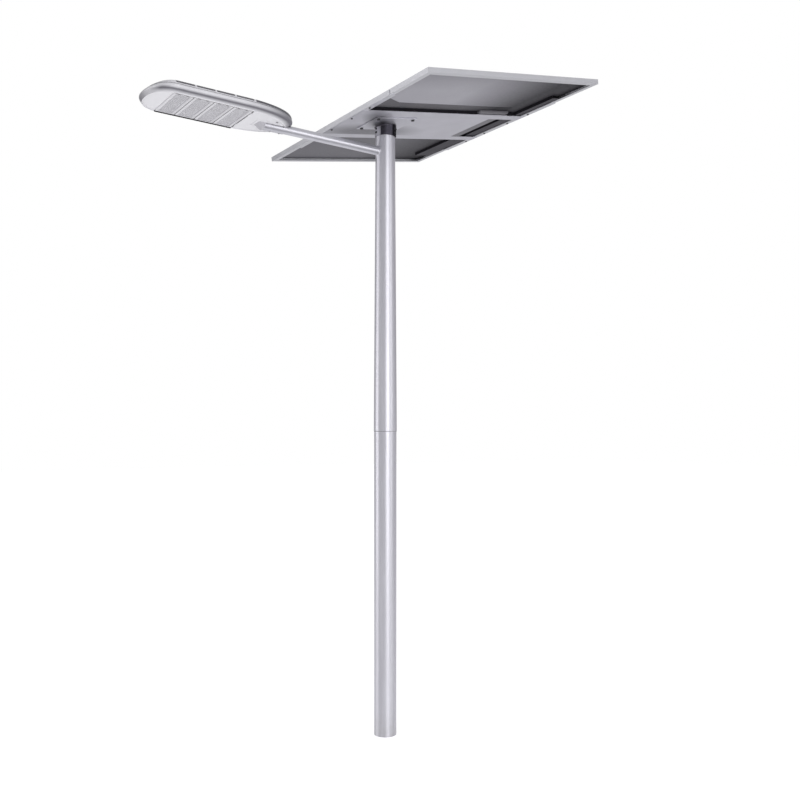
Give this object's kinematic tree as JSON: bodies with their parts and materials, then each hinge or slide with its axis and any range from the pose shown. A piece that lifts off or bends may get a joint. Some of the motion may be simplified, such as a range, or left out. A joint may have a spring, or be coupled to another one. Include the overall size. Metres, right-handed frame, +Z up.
{
  "type": "solar street lamp",
  "caption": "Street lamp: tapered pole, side arm with a flat LED lamp head, and a tilted solar panel that turns on the pole's top.",
  "frame": {"origin": "centre of the pole's foot, on the ground", "axes": "+Z up along the pole, lamp arm along -X, the panel's long side along Y with its high side towards +X"},
  "size_m": [2.228, 1.722, 3.628],
  "materials": {
    "pole_paint": "satin silver-grey powder coat",
    "galvanised_sheet": "dull galvanised sheet",
    "anodised_frame": "satin anodised",
    "screw_steel": "plain stainless",
    "housing_paint": "satin grey powder coat",
    "face_paint": "matt near-white powder coat",
    "dark_casting": "dark matt coating",
    "lens_plate": "clear grey optic on a white board",
    "panel_glass": "low-iron textured glass",
    "solar_cells": "dark blue-black",
    "backsheet": "matt grey",
    "black_plastic": "matt",
    "battery_wrap": "blue shrink wrap",
    "cable_rubber": "matt"
  },
  "bodies": {
    "pole": {"lower_pole": "pole_paint", "upper_pole": "pole_paint", "pole_foot_disc": "pole_paint", "arm_tube": "pole_paint", "arm_weld_collar": "pole_paint", "feed_cable": "cable_rubber"},
    "panel": {"bracket_sleeve": "galvanised_sheet", "bracket_flange_plate": "galvanised_sheet", "set_screw_1": "screw_steel", "set_screw_2": "screw_steel", "set_screw_3": "screw_steel", "set_screw_4": "screw_steel", "set_screw_5": "screw_steel", "set_screw_6": "screw_steel", "flange_bolt_1": "screw_steel", "flange_bolt_2": "screw_steel", "flange_bolt_3": "screw_steel", "flange_bolt_4": "screw_steel", "centre_plate": "galvanised_sheet", "cross_rail_near": "galvanised_sheet", "cross_rail_far": "galvanised_sheet", "side_rail_left": "anodised_frame", "side_rail_right": "anodised_frame", "rail_screw_left_1": "screw_steel", "rail_screw_left_2": "screw_steel", "rail_screw_left_3": "screw_steel", "rail_screw_left_4": "screw_steel", "rail_screw_right_1": "screw_steel", "rail_screw_right_2": "screw_steel", "rail_screw_right_3": "screw_steel", "rail_screw_right_4": "screw_steel", "frame_left": "anodised_frame", "frame_right": "anodised_frame", "frame_near": "anodised_frame", "frame_far": "anodised_frame", "glass_sheet": "panel_glass", "cell_layer": "solar_cells", "backsheet": "backsheet", "junction_box": "black_plastic", "panel_lead": "cable_rubber"},
    "lamp_head": {"lower_housing": "housing_paint", "top_cover": "housing_paint", "heat_sink_1": "dark_casting", "heat_sink_2": "dark_casting", "heat_sink_3": "dark_casting", "heat_sink_4": "dark_casting", "led_module_1": "lens_plate", "led_module_2": "lens_plate", "led_module_3": "lens_plate", "led_module_4": "lens_plate", "arm_socket": "housing_paint", "socket_screw_1": "screw_steel", "socket_screw_2": "screw_steel", "door_hinge_pin": "screw_steel", "battery_pack": "battery_wrap", "charge_controller": "black_plastic", "lamp_lead": "cable_rubber"},
    "rear_door": {"rear_door": "face_paint"},
    "latch_near": {"latch_near": "screw_steel"},
    "latch_far": {"latch_far": "screw_steel"}
  },
  "joints": [
    {"name": "panel_azimuth", "type": "hinge", "parent": "pole", "child": "panel", "pos_m": [0, 0, 3.42], "axis": [0, 0, 1], "range_deg": [-180, 180]},
    {"name": "lamp_roll", "type": "hinge", "parent": "pole", "child": "lamp_head", "pos_m": [0, 0, 3.314], "axis": [-0.9996, 0, 0.027], "range_deg": [-5, 5]},
    {"name": "rear_door_hinge", "type": "hinge", "parent": "lamp_head", "child": "rear_door", "pos_m": [-0.8746, 0, 3.34067], "axis": [0, 1, 0], "range_deg": [0, 75]},
    {"name": "latch_near_turn", "type": "hinge", "parent": "rear_door", "child": "latch_near", "pos_m": [-0.71166, -0.07, 3.33626], "axis": [0.027, 0, 0.9996], "range_deg": [0, 90]},
    {"name": "latch_far_turn", "type": "hinge", "parent": "rear_door", "child": "latch_far", "pos_m": [-0.71166, 0.07, 3.33626], "axis": [0.027, 0, 0.9996], "range_deg": [0, 90]}
  ]
}
